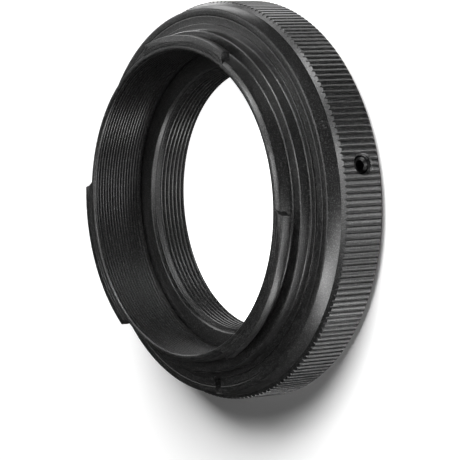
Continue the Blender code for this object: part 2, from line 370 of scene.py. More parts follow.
def anodised(name, shade, roughness, marks):
    """Dyed, anodised metal with a blasted grain and lathe marks round the Z axis. marks is the lathe
    marks' share in the relief, from 0 to 1."""
    finish = Finish(name)
    place = finish.node("ShaderNodeTexCoord", output="Object")
    x_place, y_place, height = (
        finish.node("ShaderNodeSeparateXYZ", inputs={0: place}, output=letter) for letter in "XYZ"
    )
    radius = (x_place * x_place + y_place * y_place) ** 0.5
    section = finish.node("ShaderNodeCombineXYZ", inputs={"X": radius, "Z": height})
    lathe = finish.node(
        "ShaderNodeTexNoise",
        inputs={"Vector": section, "Scale": LATHE_SCALE, "Detail": 2.0, "Roughness": 0.6},
    )
    grain = finish.node(
        "ShaderNodeTexNoise",
        inputs={"Vector": place, "Scale": GRAIN_SCALE, "Detail": 3.0, "Roughness": 0.65},
    )
    clouds = finish.node(
        "ShaderNodeTexNoise",
        inputs={"Vector": place, "Scale": CLOUD_SCALE, "Detail": 3.0},
    )
    relief = grain * (1 - marks) + lathe * marks
    bump = finish.node(
        "ShaderNodeBump",
        inputs={"Height": relief, "Distance": GRAIN_DEPTH, "Strength": 1.0},
        output="Normal",
    )
    uneven = GRAIN_SHARE * grain + (1 - GRAIN_SHARE) * clouds
    fleck = finish.node("ShaderNodeClamp", inputs={"Value": FLECK_CONTRAST * (grain - FLECK_START)})
    return finish.surface(
        Base_Color=finish.mix(fleck, grey(shade * DYED_SHARE), grey(shade * WORN_SHARE)),
        Roughness=roughness - ROUGHNESS_SPREAD / 2 + ROUGHNESS_SPREAD * uneven,
        Metallic=0.0,
        IOR=1.5,
        Normal=bump,
    )


black_anodised = anodised("ring_black", shade=0.012, roughness=0.31, marks=0.3)
insert_anodised = anodised("insert_black", shade=0.012, roughness=0.33, marks=0.4)
print("finishes so far:", black_anodised.name, insert_anodised.name)

# %% [markdown]
# ## One tooth of the grip
#
# The grip has 196 straight teeth. Each is the same, so only a narrow slice of the ring is modelled,
# one tooth wide, from the rear face over the knurl, the flange, the collar and the tube, and
# back down the bore. Rows that cross the knurl have many points to give the tooth its flat crowned
# top and the V groove beside it. The plain rows have only three, and the skin joins the two kinds.
#
# Half a tooth is a short list: how far across the slice a point lies, and how deep, from 0 at the top
# to 1 at the groove's bottom. The other half is its mirror image.

# %% The tooth's shape
TEETH = 196
PLAIN_SHARES = (0.0, 0.5, 1.0)
TOOTH_FLANK = ((0.0, 1.0), (0.04, 0.97), (0.2, 0.1), (0.22, 0.06), (0.36, 0.015), (0.5, 0.0))


def tooth_row(place):
    """A row across one tooth. place gives (radius, height) for a depth from 0, the top, to 1."""
    flank = list(TOOTH_FLANK)
    shares = flank + [(1 - share, depth) for share, depth in reversed(flank[:-1])]
    return [(share, *place(depth)) for share, depth in shares]


def plain_row(radius, height):
    """A row of the slice where the section is round."""
    return [(share, radius, height) for share in PLAIN_SHARES]


def knurl_end(foot_height, outwards):
    """The knurl's end on its 45 degree chamfer. outwards is 1 at the front end and -1 at the rear."""
    foot_radius = BAND_RADIUS if outwards > 0 else GRIP_RADIUS - REAR_CHAMFER

    def place(depth):
        radius = GRIP_RADIUS - KNURL_DEPTH * depth
        return radius, foot_height - outwards * (radius - foot_radius)

    return tooth_row(place)


# %% The section from the flange's foot up to the front and into the throat
FINE_EDGE = 0.05 * MM
BROKEN_EDGE = 0.1 * MM
CHAMFER = 0.2 * MM
CHAMFER_EDGE = 0.06 * MM
COLLAR_CHAMFER = 0.15 * MM
LEAD_EDGE = 0.15 * MM
BAND_EDGE_DOWN = 0.15 * MM
BAND_EDGE_IN = 0.45 * MM
LINE_RADIUS = 29.15 * MM
LINE_HALF = 0.15 * MM
LINE_DEPTH = 0.04 * MM
GROOVE_PITCH = 0.525 * MM
GROOVE_DEPTH = 0.36 * MM
GROOVE_COUNT = 16
FIRST_GROOVE = 7.39 * MM
CREST_HALF = 0.06 * MM
LAST_LIP = FIRST_GROOVE + (GROOVE_COUNT - 0.4) * GROOVE_PITCH

front_section = rounded([
    (BAND_RADIUS, BAND_FOOT, 0),
    (BAND_RADIUS - BAND_TAPER, FLANGE_TOP, BAND_EDGE_DOWN, BAND_EDGE_IN),
    (LINE_RADIUS + LINE_HALF, FLANGE_TOP, FINE_EDGE),
    (LINE_RADIUS, FLANGE_TOP - LINE_DEPTH, FINE_EDGE),
    (LINE_RADIUS - LINE_HALF, FLANGE_TOP, FINE_EDGE),
    (SEAT_RADIUS, FLANGE_TOP, FINE_EDGE),
    (SEAT_RADIUS, SEAT_TOP, BROKEN_EDGE),
    (COLLAR_RADIUS, SEAT_TOP, ROOT_FILLET),
    (COLLAR_RADIUS, COLLAR_TOP - COLLAR_CHAMFER, CHAMFER_EDGE),
    (COLLAR_RADIUS - COLLAR_CHAMFER, COLLAR_TOP, CHAMFER_EDGE),
    (TUBE_RADIUS, COLLAR_TOP, ROOT_FILLET),
    (TUBE_RADIUS, FRONT - LEAD_HEIGHT, BROKEN_EDGE),
    (TUBE_RADIUS - LEAD_WIDTH, FRONT, LEAD_EDGE),
    (THROAT_RADIUS + CHAMFER, FRONT, CHAMFER_EDGE),
    (THROAT_RADIUS, FRONT - CHAMFER, CHAMFER_EDGE),
    (THROAT_RADIUS, LAST_LIP, 0),
])
print(f"{len(front_section)} points from the flange to the throat")

# %% The throat's light-trap grooves, the shoulder and the rear face
groove_section = []
for number in reversed(range(GROOVE_COUNT)):
    crest = FIRST_GROOVE + number * GROOVE_PITCH
    groove_section += [
        Vector((THROAT_RADIUS + GROOVE_DEPTH, crest + GROOVE_PITCH / 2)),
        Vector((THROAT_RADIUS, crest + CREST_HALF)),
        Vector((THROAT_RADIUS, crest - CREST_HALF)),
    ]
rear_section = rounded([
    (THROAT_RADIUS, SHOULDER, 0),
    (INSERT_BORE, SHOULDER, FINE_EDGE),
    (INSERT_BORE, REAR + CHAMFER, BROKEN_EDGE),
    (INSERT_BORE + CHAMFER, REAR, BROKEN_EDGE),
    (GRIP_RADIUS - REAR_CHAMFER, REAR, BROKEN_EDGE),
    (GRIP_RADIUS - REAR_CHAMFER + CHAMFER, REAR + CHAMFER, 0),
])
slice_rows = [knurl_end(REAR, -1), knurl_end(BAND_FOOT, 1)]
slice_rows += [plain_row(*point) for point in front_section + groove_section + rear_section]
print(f"{len(slice_rows)} rows, {GROOVE_COUNT} light-trap grooves in the throat")

# %% The slice as a mesh, turned so that its first edge lies at +X
bm = bmesh.new()
loops = []
for row in slice_rows:
    points = [polar(radius, 360 / TEETH * share, height) for share, radius, height in row]
    loops.append([bm.verts.new(point) for point in points])
for lower, upper in zip(loops, loops[1:] + loops[:1]):
    skin(bm, lower, upper, closed=False)
slice_mesh = bpy.data.meshes.new("ring_slice")
bm.to_mesh(slice_mesh)
bm.free()
ring_slice = add_object("ring_slice", slice_mesh)
print(f"one slice has {len(slice_mesh.polygons)} faces")

# %% [markdown]
# ## Repeating the slice round the axis
#
# This is what Geometry Nodes do best. A tree makes one point for each tooth, all of them on the axis,
# and puts the slice on each, turned by its number times a full turn over the count. Realize
# Instances makes them real faces, and the seams between the slices are welded afterwards.


# %% The tree that repeats a shape round the axis
def tree_with(name, sockets):
    """A new geometry tree with a geometry input, these further inputs, and a geometry output."""
    tree = bpy.data.node_groups.new(name, "GeometryNodeTree")
    tree.interface.new_socket("Geometry", in_out="INPUT", socket_type="NodeSocketGeometry")
    for label, kind in sockets:
        tree.interface.new_socket(label, in_out="INPUT", socket_type=kind)
    tree.interface.new_socket("Geometry", in_out="OUTPUT", socket_type="NodeSocketGeometry")
    return tree


def place_node(tree, kind, settings=None, inputs=None):
    """A node with its settings, and its sockets set or linked."""
    made = tree.nodes.new(kind)
    for key, value in (settings or {}).items():
        setattr(made, key, value)
    for key, value in (inputs or {}).items():
        if isinstance(value, bpy.types.NodeSocket):
            tree.links.new(value, made.inputs[key])
        else:
            made.inputs[key].default_value = value
    return made


def finish_tree(tree, geometry, material):
    """Ends a tree: instances made real, then the material."""
    real = place_node(tree, "GeometryNodeRealizeInstances", inputs={0: geometry})
    dressed = place_node(
        tree, "GeometryNodeSetMaterial", inputs={"Geometry": real.outputs[0], "Material": material}
    )
    place_node(tree, "NodeGroupOutput", inputs={0: dressed.outputs[0]})


def round_the_axis():
    """Puts the incoming shape on each of Count points on the axis, each turned a step further."""
    tree = tree_with("round_the_axis", [("Count", "NodeSocketInt"), ("Material", "NodeSocketMaterial")])
    given = place_node(tree, "NodeGroupInput")
    points = place_node(tree, "GeometryNodePoints", inputs={"Count": given.outputs["Count"]})
    number = place_node(tree, "GeometryNodeInputIndex")
    step = place_node(
        tree, "ShaderNodeMath", {"operation": "DIVIDE"}, {0: math.tau, 1: given.outputs["Count"]}
    )
    angle = place_node(
        tree, "ShaderNodeMath", {"operation": "MULTIPLY"}, {0: number.outputs[0], 1: step.outputs[0]}
    )
    turn = place_node(tree, "ShaderNodeCombineXYZ", inputs={"Z": angle.outputs[0]})
    copies = place_node(
        tree,
        "GeometryNodeInstanceOnPoints",
        inputs={
            "Points": points.outputs[0],
            "Instance": given.outputs["Geometry"],
            "Rotation": turn.outputs[0],
        },
    )
    finish_tree(tree, copies.outputs[0], given.outputs["Material"])
    return tree


WELD_DISTANCE = 0.002 * MM


def grow(obj, tree, values):
    """Runs a tree on an object with these input values, and leaves a plain mesh."""
    modifier = obj.modifiers.new("grow", "NODES")
    modifier.node_group = tree
    for item in tree.interface.items_tree:
        if item.in_out == "INPUT" and item.name in values:
            modifier[item.identifier] = values[item.name]
    mesh = plain_mesh(obj)
    bm = bmesh.new()
    bm.from_mesh(mesh)
    bmesh.ops.remove_doubles(bm, verts=bm.verts, dist=WELD_DISTANCE)
    bm.to_mesh(mesh)
    bm.free()
    dress(mesh, values["Material"])
    return mesh


# %% The whole turned ring
ring_body = ring_slice
ring_body.name = "ring_body"
body_mesh = grow(ring_body, round_the_axis(), {"Count": TEETH, "Material": black_anodised})
print(f"the turned ring has {len(body_mesh.polygons)} faces")

# %% [markdown]
# ## Bayonet lugs
#
# Three lugs lock the ring in the camera. On the real part the front rim was turned as a full disc and
# the gaps were milled away, so each lug ends in the arc that the cutter left. Here each lug is a
# short bar with the same ends, sunk in the tube's wall and joined to it. Cutting the gaps out of a
# disc would give the same shape, but a bar's edges are easier to round before it is joined.

# %% Lug angles in degrees from +X, and outline
LUGS = ((59.4, 105.4), (172.0, 226.7), (291.9, 353.9))
LUG_ROOT = TUBE_RADIUS - 0.55 * MM
LUG_BEND = TUBE_RADIUS + 0.4 * MM
LUG_SWEEP = 0.95 * MM
LUG_CORNER = 0.12 * MM
LUG_BACK_EDGE = 0.24 * MM
LUG_FRONT_EDGE = 0.2 * MM
RIM_STEPS_PER_DEGREE = 1.1
FLANK_DRAW = 0.4
FLANK_SHARES = (0.1, 0.3, 0.45, 0.6, 0.75, 0.88, 1.0)


def lug_row(first, last, height, inset):
    """A lug's outline at one height: its rim, the flank that the cutter left, the sunk side, and the
    other flank. The flanks draw in less than the rim does."""
    rim = LUG_RADIUS - inset
    draw = math.degrees(FLANK_DRAW * inset / rim)
    low = first + draw
    high = last - draw
    corner = math.degrees(LUG_CORNER / rim)
    steps = round((last - first) * RIM_STEPS_PER_DEGREE)
    row = []
    for step in range(steps + 1):
        row.append(polar(rim, low + corner + (high - low - 2 * corner) * step / steps, height))
    flank = []
    for share in FLANK_SHARES:
        rest = 1 - share
        radius = rest * rest * rim + 2 * share * rest * LUG_BEND + share * share * LUG_ROOT
        flank.append((radius, math.degrees(share * share * LUG_SWEEP / radius)))
    row += [polar(radius, high + turn, height) for radius, turn in flank]
    row += [polar(LUG_ROOT, high + (low - high) * step / steps, height) for step in range(steps + 1)]
    row += [polar(radius, low - turn, height) for radius, turn in reversed(flank)]
    return row


def eased(size):
    """How far down and in the points of a rounded edge lie, from its wall up to its face."""
    bends = [math.pi / 6 * step for step in range(4)]
    return [(size * (1 - math.sin(bend)), size * (1 - math.cos(bend))) for bend in bends]


def lug(first, last):
    """One lug, with its rim edges eased."""
    back = FRONT - LUG_THICKNESS
    stack = [(back + down, inset) for down, inset in reversed(eased(LUG_BACK_EDGE))]
    stack += [(FRONT - down, inset) for down, inset in eased(LUG_FRONT_EDGE)]
    rows = [lug_row(first, last, height, inset) for height, inset in stack]
    return add_object("lug", mesh_of_rows("lug", rows))


combine(ring_body, joined("lugs", [lug(*span) for span in LUGS]), "UNION")
print(f"with its lugs the ring has {len(ring_body.data.polygons)} faces")

# %% [markdown]
# ## Milled and drilled places
#
# A slot in the flange takes the camera's lock pin, three holes go through the grip for the set
# screws, and a blind hole in the tube holds the stop pin. Two fine lines round the lugs' front faces
# are the marks of the turning tool. All the cutters are joined into one shape, so that the ring is
# cut only once.

# %% The slot and the turned lines
NOTCH_ANGLE = 270.0
NOTCH_WIDTH = 1.45 * MM
NOTCH_DEPTH = 1.5 * MM
NOTCH_BITE = 0.3 * MM
NOTCH_FLARE = 0.08 * MM
SLOT_END_STEPS = 16
FACE_LINES = (TUBE_RADIUS + 0.1 * MM, TUBE_RADIUS - 0.4 * MM)
FACE_LINE_HALF = 0.07 * MM
CUTTER_PROUD = 0.01 * MM


def notch_cutter():
    """A slot with a round inner end, open at the ring's edge, and a hair wider towards its top."""
    levels = ((FLANGE_TOP - NOTCH_DEPTH, 0), (FLANGE_TOP - NOTCH_FLARE, 0), (COLLAR_TOP, NOTCH_FLARE))
    centre = SEAT_RADIUS - NOTCH_BITE + NOTCH_WIDTH / 2
    outside = GRIP_RADIUS + MM
    rows = []
    for height, flare in levels:
        half = NOTCH_WIDTH / 2 + flare
        row = [Vector((outside, -half, height)), Vector((outside, half, height))]
        for step in range(SLOT_END_STEPS + 1):
            bend = math.pi / 2 + math.pi * step / SLOT_END_STEPS
            row.append(Vector((centre + half * math.cos(bend), half * math.sin(bend), height)))
        rows.append(row)
    cutter = add_object("notch", mesh_of_rows("notch", rows))
    cutter.data.transform(Matrix.Rotation(math.radians(NOTCH_ANGLE), 4, "Z"))
    return cutter


def line_cutter(radius):
    """A fine V line round the lugs' front faces, as the last pass of the turning tool leaves."""
    rows = [
        even_row(radius - FACE_LINE_HALF, FRONT + CUTTER_PROUD, TEETH),
        even_row(radius, FRONT - LINE_DEPTH, TEETH),
        even_row(radius + FACE_LINE_HALF, FRONT + CUTTER_PROUD, TEETH),
    ]
    return add_object("line", mesh_of_rows("line", rows, hollow=True))


# %% The holes
FIRST_SCREW = 7.7
SCREW_ANGLES = [FIRST_SCREW + 120 * number for number in range(3)]
SCREW_HEIGHT = 4.0 * MM
HOLE_RADIUS = 1.6 * MM
HOLE_MOUTH = 0.32 * MM
HOLE_PAST_TEETH = 0.1 * MM
ROUND_POINTS = 48
HOLE_OVERSHOOT = 0.5 * MM
PIN_BEFORE_LUG = 0.75
PIN_ANGLE = LUGS[-1][0] - PIN_BEFORE_LUG
PIN_HEIGHT = (COLLAR_TOP + FRONT - LUG_THICKNESS) / 2
PIN_RADIUS = 0.58 * MM
PIN_CLEARANCE = 0.03 * MM
PIN_HOLE_DEPTH = 0.6 * MM
PIN_HOLE_MOUTH = 0.02 * MM


def aim_outwards(obj, radius, degrees, height):
    """Puts the shape at this place with its own Z pointing away from the axis, within its mesh."""
    turn = Matrix.Rotation(math.radians(degrees), 4, "Z") @ Matrix.Rotation(math.pi / 2, 4, "Y")
    obj.data.transform(Matrix.Translation(polar(radius, degrees, height)) @ turn)
    return obj


def hole_cutter(radius, start, end, mouth, degrees, height):
    """A round cutter from one distance off the axis to another, with an eased mouth at the outer one."""
    length = end - start
    rows = [
        even_row(radius, 0, ROUND_POINTS),
        even_row(radius, length - mouth, ROUND_POINTS),
        even_row(radius + mouth, length, ROUND_POINTS),
        even_row(radius + mouth, length + HOLE_OVERSHOOT, ROUND_POINTS),
    ]
    return aim_outwards(add_object("hole", mesh_of_rows("hole", rows)), start, degrees, height)


def screw_hole(degrees):
    """A hole from the thread ring's place out through the grip."""
    end = GRIP_RADIUS + HOLE_PAST_TEETH
    return hole_cutter(HOLE_RADIUS, INSERT_RADIUS - RUNNING_GAP, end, HOLE_MOUTH, degrees, SCREW_HEIGHT)


def pin_hole():
    """A blind hole in the tube's outside."""
    start = TUBE_RADIUS - PIN_HOLE_DEPTH
    end = TUBE_RADIUS + PIN_HOLE_MOUTH
    return hole_cutter(PIN_RADIUS + PIN_CLEARANCE, start, end, PIN_HOLE_MOUTH, PIN_ANGLE, PIN_HEIGHT)


print(f"{len(SCREW_ANGLES)} screw holes, {SCREW_HEIGHT / MM:.1f} mm up the grip")

# %% All the cuts at once
cutters = [notch_cutter()]
cutters += [line_cutter(radius) for radius in FACE_LINES]
cutters += [screw_hole(degrees) for degrees in SCREW_ANGLES]
cutters.append(pin_hole())
combine(ring_body, joined("cutters", cutters), "DIFFERENCE")
print(f"after the cuts the ring has {len(ring_body.data.polygons)} faces")

# %% [markdown]
# ## Threads
#
# A thread is a ridge that follows a helix, so a second tree sweeps a small section along a spiral.
# The lens thread points inwards, the screws' threads outwards, and one input turns the section for
# either. The ends of a real thread are cut by the chamfer that leads into it. The tree does the same
# by holding every point between two cones, which come closer together away from the thread's root.
# A Screw modifier could sweep the section as well, but its ends would still have to be trimmed.

# %% The tree that sweeps a ridge along a helix
TURN_POINTS = 128


def helical_ridge():
    """A right-hand ridge with a flat crest. Sizes are in metres, places along it in turns from +X.
    Low and High are the heights that its ends are held between."""
    labels = (
        "Radius", "Pitch", "First Turn", "Turns", "Width", "Crest", "Depth", "Section Turn",
        "Root", "Low", "High",
    )
    sockets = [(label, "NodeSocketFloat") for label in labels] + [("Material", "NodeSocketMaterial")]
    tree = tree_with("helical_ridge", sockets)
    given = place_node(tree, "NodeGroupInput").outputs

    def maths(operation, first, second):
        terms = {0: first, 1: second}
        return place_node(tree, "ShaderNodeMath", {"operation": operation}, terms).outputs[0]

    def times(first, second):
        return maths("MULTIPLY", first, second)

    def upwards(amount):
        return place_node(tree, "ShaderNodeCombineXYZ", inputs={"Z": amount}).outputs[0]

    spiral_sizes = {
        "Resolution": TURN_POINTS,
        "Rotations": given["Turns"],
        "Start Radius": given["Radius"],
        "End Radius": given["Radius"],
        "Height": times(given["Pitch"], given["Turns"]),
        "Reverse": True,
    }
    helix = place_node(tree, "GeometryNodeCurveSpiral", inputs=spiral_sizes)
    upright = place_node(tree, "GeometryNodeSetCurveNormal", {"mode": "Z_UP"}, {"Curve": helix.outputs[0]})
    section_sizes = {
        "Height": given["Depth"],
        "Bottom Width": given["Width"],
        "Top Width": given["Crest"],
        "Offset": 0.0,
    }
    section = place_node(
        tree, "GeometryNodeCurvePrimitiveQuadrilateral", {"mode": "TRAPEZOID"}, section_sizes
    )
    turned = place_node(
        tree,
        "GeometryNodeTransform",
        inputs={"Geometry": section.outputs[0], "Rotation": upwards(given["Section Turn"])},
    )
    swept = place_node(
        tree,
        "GeometryNodeCurveToMesh",
        inputs={"Curve": upright.outputs[0], "Profile Curve": turned.outputs[0], "Fill Caps": True},
    )
    placed = place_node(
        tree,
        "GeometryNodeTransform",
        inputs={
            "Geometry": swept.outputs[0],
            "Translation": upwards(times(given["Pitch"], given["First Turn"])),
            "Rotation": upwards(times(math.tau, given["First Turn"])),
        },
    )
    place = place_node(tree, "GeometryNodeInputPosition")
    parts = place_node(tree, "ShaderNodeSeparateXYZ", inputs={0: place.outputs[0]}).outputs
    flat = place_node(tree, "ShaderNodeCombineXYZ", inputs={"X": parts["X"], "Y": parts["Y"]})
    reach = place_node(tree, "ShaderNodeVectorMath", {"operation": "LENGTH"}, {0: flat.outputs[0]})
    from_root = maths("SUBTRACT", given["Root"], reach.outputs["Value"])
    slant = place_node(tree, "ShaderNodeMath", {"operation": "ABSOLUTE"}, {0: from_root}).outputs[0]
    lowest = maths("ADD", given["Low"], slant)
    highest = maths("SUBTRACT", given["High"], slant)
    held = place_node(
        tree, "ShaderNodeClamp", inputs={"Value": parts["Z"], "Min": lowest, "Max": highest}
    )
    spot = place_node(
        tree, "ShaderNodeCombineXYZ", inputs={"X": parts["X"], "Y": parts["Y"], "Z": held.outputs[0]}
    )
    cut = place_node(
        tree, "GeometryNodeSetPosition", inputs={"Geometry": placed.outputs[0], "Position": spot.outputs[0]}
    )
    finish_tree(tree, cut.outputs[0], given["Material"])
    return tree


ridge_tree = helical_ridge()
print(f"the thread tree has {len(ridge_tree.nodes)} nodes")

# %% One thread's ridge
ROOT_SHARE = 0.88
CREST_SHARE = 0.25
SUNK = 0.04 * MM


def thread_ridge(crest_radius, depth, pitch, low, high, material):
    """A thread's ridge between two heights. A negative depth makes it point inwards. Its foot is sunk
    a little in the wall that carries it."""
    reach = abs(depth) + SUNK
    width = ROOT_SHARE * pitch * reach / abs(depth)
    ridge = add_object("thread", bpy.data.meshes.new("thread"))
    values = {
        "Radius": crest_radius - math.copysign(reach / 2, depth),
        "Pitch": pitch,
        "First Turn": (low - width / 2) / pitch,
        "Turns": (high - low + width) / pitch,
        "Width": width,
        "Crest": CREST_SHARE * pitch,
        "Depth": reach,
        "Section Turn": -math.copysign(math.pi / 2, depth),
        "Root": crest_radius - depth,
        "Low": low,
        "High": high,
        "Material": material,
    }
    grow(ridge, ridge_tree, values)
    return ridge


# %% The screw holes' threads, and the ring put together
SCREW_PITCH = 0.5 * MM
HOLE_THREAD_DEPTH = 0.13 * MM
HOLE_THREAD_LOW = 0.05 * MM
HOLE_THREAD_HIGH = 6.2 * MM


def hole_thread(degrees):
    """The thread in one screw hole."""
    crest = HOLE_RADIUS - HOLE_THREAD_DEPTH
    ridge = thread_ridge(
        crest, -HOLE_THREAD_DEPTH, SCREW_PITCH, HOLE_THREAD_LOW, HOLE_THREAD_HIGH, black_anodised
    )
    return aim_outwards(ridge, INSERT_BORE, degrees, SCREW_HEIGHT)


hole_threads = [hole_thread(degrees) for degrees in SCREW_ANGLES]
ring_body = joined("ring_body", [ring_body] + hole_threads)
dress(ring_body.data, black_anodised)
smooth(ring_body.data)
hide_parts("mount_ring")
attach(ring_body, "mount")
print(f"the finished ring has {len(ring_body.data.polygons)} faces")

# %% [markdown]
# ## The thread ring
#
# The loose ring inside carries the lens thread, M42 with a pitch of 0.75 mm. A V groove round its
# outside takes the screws' cone points, and in front of the thread a wider step, the relief, gave
# the threading tool room to run out. It has no teeth, so it is a plain stack of rows, without a tree.

# %% The thread ring's section
THREAD_RADIUS = 21.0 * MM
THREAD_DEPTH = 0.4 * MM
THREAD_PITCH = 0.75 * MM
THREAD_LEAD = 0.15 * MM
RELIEF_RADIUS = 21.2 * MM
RELIEF_DEPTH = 0.85 * MM
RELIEF_EDGE = 0.12 * MM
RELIEF_ROOT = 0.06 * MM
RELIEF_SLOPE = 0.1 * MM
V_DEPTH = 0.9 * MM
THREAD_HIGH = INSERT_LENGTH - RELIEF_DEPTH - RELIEF_SLOPE
INSERT_POINTS = TEETH * 2

insert_section = rounded([
    (THREAD_RADIUS + THREAD_LEAD, 0, 0),
    (INSERT_RADIUS - CHAMFER, 0, BROKEN_EDGE),
    (INSERT_RADIUS, CHAMFER, BROKEN_EDGE),
    (INSERT_RADIUS, SCREW_HEIGHT - V_DEPTH, FINE_EDGE),
    (INSERT_RADIUS - V_DEPTH, SCREW_HEIGHT, FINE_EDGE),
    (INSERT_RADIUS, SCREW_HEIGHT + V_DEPTH, FINE_EDGE),
    (INSERT_RADIUS, INSERT_LENGTH - CHAMFER, BROKEN_EDGE),
    (INSERT_RADIUS - CHAMFER, INSERT_LENGTH, BROKEN_EDGE),
    (RELIEF_RADIUS, INSERT_LENGTH, RELIEF_EDGE),
    (RELIEF_RADIUS, INSERT_LENGTH - RELIEF_DEPTH, RELIEF_ROOT),
    (THREAD_RADIUS, THREAD_HIGH, 0),
    (THREAD_RADIUS, THREAD_LEAD, 0),
])
insert_rows = [even_row(point.x, point.y, INSERT_POINTS) for point in insert_section]
insert_plain = add_object("insert_plain", mesh_of_rows("insert_plain", insert_rows, hollow=True))
print(f"the plain thread ring has {len(insert_plain.data.polygons)} faces")

# %% Its thread, and the ring put together
lens_thread = thread_ridge(
    THREAD_RADIUS - THREAD_DEPTH, -THREAD_DEPTH, THREAD_PITCH, 0.0, THREAD_HIGH, insert_anodised
)
print(f"the lens thread has {len(lens_thread.data.polygons)} faces")
thread_ring = joined("thread_ring", [insert_plain, lens_thread])
dress(thread_ring.data, insert_anodised)
smooth(thread_ring.data)
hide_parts("insert_ring")
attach(thread_ring, "insert")

# %% [markdown]
# ## Set screws and stop pin
#
# The screws are small, dark and sunk in their holes, so what shows is the hexagon socket and a glint
# on its edge. The stop pin is the one bright thing on the ring: ground steel with a domed end. All
# are stacks of rows, and where a screw's hexagon starts, the rows go from many points to six.

# %% Steel finishes
STEEL_SCALE = 6000.0
STEEL_DEPTH = 0.02 * MM
STEEL_TONES = (0.8, 1.2)
STEEL_SPREAD = 0.1


def steel(name, shade, roughness):
    """Plain steel, a little uneven."""
    finish = Finish(name)
    place = finish.node("ShaderNodeTexCoord", output="Object")
    noise = finish.node(
        "ShaderNodeTexNoise", inputs={"Vector": place, "Scale": STEEL_SCALE, "Detail": 2.0}
    )
    bump = finish.node(
        "ShaderNodeBump",
        inputs={"Height": noise, "Distance": STEEL_DEPTH, "Strength": 0.6},
        output="Normal",
    )
    darker, paler = (grey(shade * tone) for tone in STEEL_TONES)
    return finish.surface(
        Base_Color=finish.mix(noise, darker, paler),
        Roughness=roughness - STEEL_SPREAD / 2 + STEEL_SPREAD * noise,
        Metallic=1.0,
        Normal=bump,
    )


blackened_steel = steel("screw_steel", shade=0.025, roughness=0.34)
bright_steel = steel("pin_steel", shade=0.75, roughness=0.16)
print("steels:", blackened_steel.name, bright_steel.name)

# %% Screws
SCREW_RADIUS = 1.42 * MM
SCREW_CORE = 1.22 * MM
SCREW_SINK = 0.6 * MM
SCREW_EDGE = 0.05 * MM
TIP_RADIUS = 0.2 * MM
HEX_WIDTH = 1.5 * MM
HEX_DEPTH = 1.3 * MM
HEX_RADIUS = HEX_WIDTH / math.sqrt(3)
DISH_RIM = 0.06 * MM
DISH_DEPTH = 0.2 * MM
SOCKET_MOUTH = 0.3 * MM
SCREW_THREAD_LOW = 1.2 * MM
SCREW_THREAD_STOP = 0.1 * MM


def set_screw(number, degrees):
    """A headless screw: cone point, threaded body, dished head and hexagon socket."""
    tip = INSERT_RADIUS - V_DEPTH + RUNNING_GAP * math.sqrt(2)
    length = GRIP_RADIUS - SCREW_SINK - tip
    rows = [
        even_row(TIP_RADIUS, 0, ROUND_POINTS),
        even_row(SCREW_CORE, SCREW_CORE - TIP_RADIUS, ROUND_POINTS),
        even_row(SCREW_CORE, length - SCREW_EDGE, ROUND_POINTS),
        even_row(SCREW_CORE - SCREW_EDGE, length, ROUND_POINTS),
        even_row(HEX_RADIUS + DISH_RIM, length - DISH_DEPTH, ROUND_POINTS),
        even_row(HEX_RADIUS, length - SOCKET_MOUTH, 6),
        even_row(HEX_RADIUS, length - HEX_DEPTH, 6),
    ]
    core = add_object("core", mesh_of_rows("core", rows))
    depth = SCREW_RADIUS - SCREW_CORE
    high = length - SCREW_THREAD_STOP
    ridge = thread_ridge(SCREW_RADIUS, depth, SCREW_PITCH, SCREW_THREAD_LOW, high, blackened_steel)
    screw = joined(f"screw_{number}", [core, ridge])
    dress(screw.data, blackened_steel)
    smooth(screw.data)
    aim_outwards(screw, tip, degrees, SCREW_HEIGHT)
    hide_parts(f"set_screw_{number}")
    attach(screw, f"screw_{number}")


for number, degrees in enumerate(SCREW_ANGLES, start=1):
    set_screw(number, degrees)
print("set screws at", SCREW_ANGLES, "degrees")

# %% Stop pin
PIN_SEAT = 0.55 * MM
PIN_REACH = 0.9 * MM
PIN_POINTS = 32
DOME = 0.3 * MM
DOME_STEPS = 6


def stop_pin():
    """A round pin with a domed outer end."""
    shaft = PIN_SEAT + PIN_REACH - DOME
    rows = [even_row(PIN_RADIUS, 0, PIN_POINTS), even_row(PIN_RADIUS, shaft, PIN_POINTS)]
    for step in range(1, DOME_STEPS):
        bend = math.pi / 2 * step / DOME_STEPS
        rows.append(even_row(PIN_RADIUS * math.cos(bend), shaft + DOME * math.sin(bend), PIN_POINTS))
    pin = add_object("pin", mesh_of_rows("pin", rows))
    pin.data.materials.append(bright_steel)
    smooth(pin.data)
    aim_outwards(pin, TUBE_RADIUS - PIN_SEAT, PIN_ANGLE, PIN_HEIGHT)
    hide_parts("stop_pin")
    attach(pin, "mount")


stop_pin()
print(f"stop pin at {PIN_ANGLE:.2f} degrees, {PIN_HEIGHT / MM:.2f} mm up")

# %% [markdown]
# ## Camera
#
# The view was found by fitting the ring's circles to the photograph: where the ring's centre lies
# from the lens, how its axis points, and how long the lens is. The axis points left and a little
# down in the picture, and towards the viewer.
#
# The centre's place and the axis count right, down and away from the viewer. Blender's camera counts
# right, up and towards the viewer, so a last matrix changes two signs.

# %% The camera's place and lens
IMAGE_SIDE = 460
FOCAL_PIXELS = 2936.5
CENTRE_FROM_LENS = Vector((4.963, -5.062, 468.4)) * MM
AXIS_TURN = math.radians(-53.38)
AXIS_DIP = math.radians(2.975)
RING_TURN = math.radians(88.4)

axis = Vector((
    math.sin(AXIS_TURN) * math.cos(AXIS_DIP),
    math.sin(AXIS_DIP),
    -math.cos(AXIS_TURN) * math.cos(AXIS_DIP),
))
picture_up = Vector((0, -1, 0))
up = (picture_up - axis * picture_up.dot(axis)).normalized()
side = up.cross(axis)
ring_x = up * math.cos(RING_TURN) + side * math.sin(RING_TURN)
ring_y = axis.cross(ring_x)
to_ring = Matrix((ring_x, ring_y, axis))
flip = Matrix(((1, 0, 0), (0, -1, 0), (0, 0, -1)))
camera_turn = to_ring @ flip

